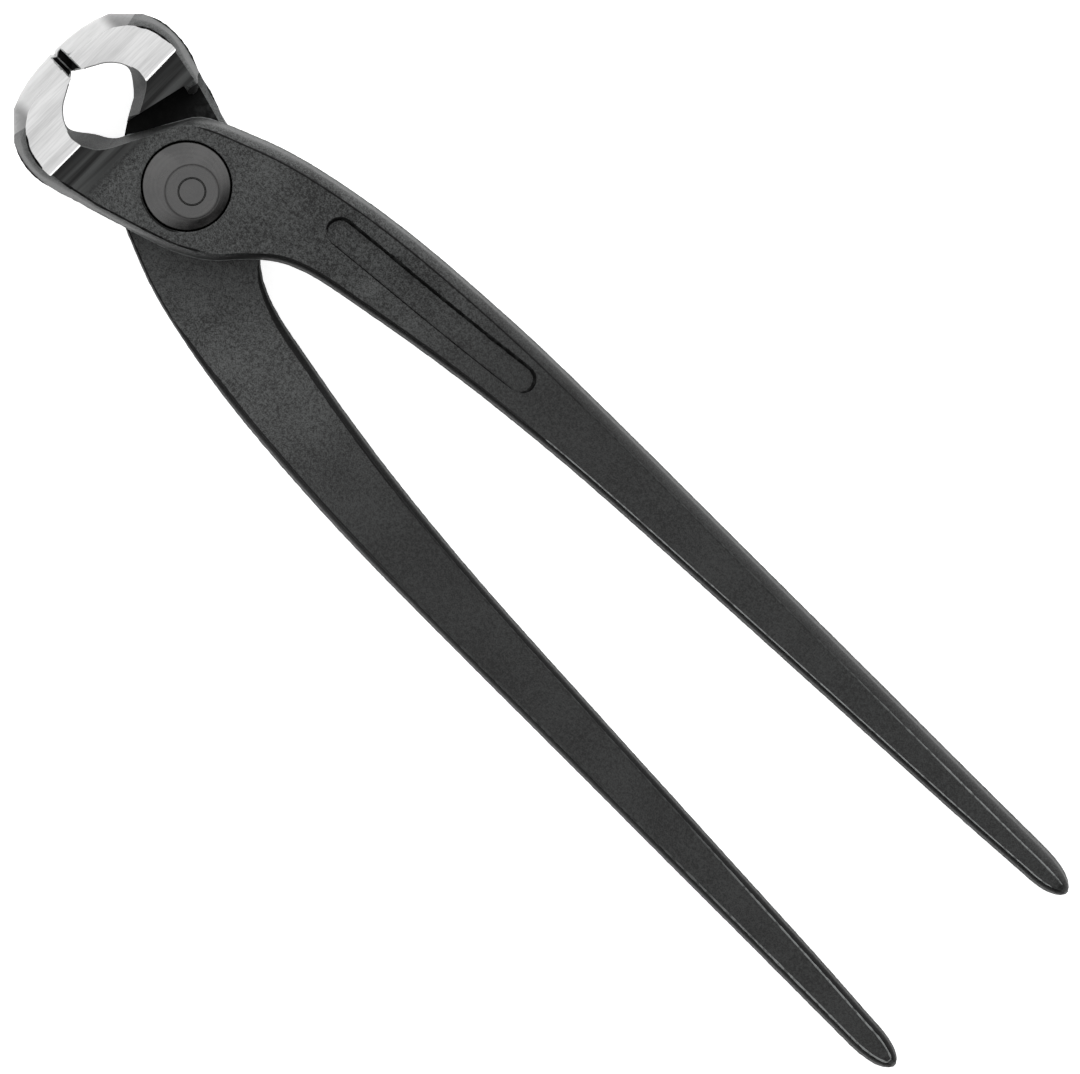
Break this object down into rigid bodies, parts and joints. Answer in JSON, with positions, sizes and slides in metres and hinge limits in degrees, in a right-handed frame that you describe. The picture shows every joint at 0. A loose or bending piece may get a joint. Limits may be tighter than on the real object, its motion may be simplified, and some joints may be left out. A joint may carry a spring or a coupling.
{
  "type": "rebar tying pliers",
  "caption": "Long-handled end nippers for twisting and cutting tie wire: two crossed forged levers on a riveted lap joint, with a short rounded head and a hollow behind the cutting edges.",
  "frame": {"origin": "on the rivet's axis, at the back face of the joint, on the flush tail of the rivet", "axes": "+X to the ends of the handles, +Y to the side of the front lever's handle, +Z out of the front face; the jaws point to -X"},
  "size_m": [0.2199, 0.0466, 0.017],
  "materials": {
    "forged_steel": "forged steel with a matt black phosphate skin; the jaw faces and the end of the head are ground bright",
    "rivet_steel": "turned steel, blackened, smoother than the forgings"
  },
  "bodies": {
    "rear_half": {"rear_lever": "forged_steel", "pivot_rivet": "rivet_steel"},
    "front_half": {"front_lever": "forged_steel"}
  },
  "joints": [
    {"name": "pivot", "type": "hinge", "parent": "rear_half", "child": "front_half", "pos_m": [0, 0, 0.008], "axis": [0, 0, 1], "range_deg": [0, 35]}
  ]
}
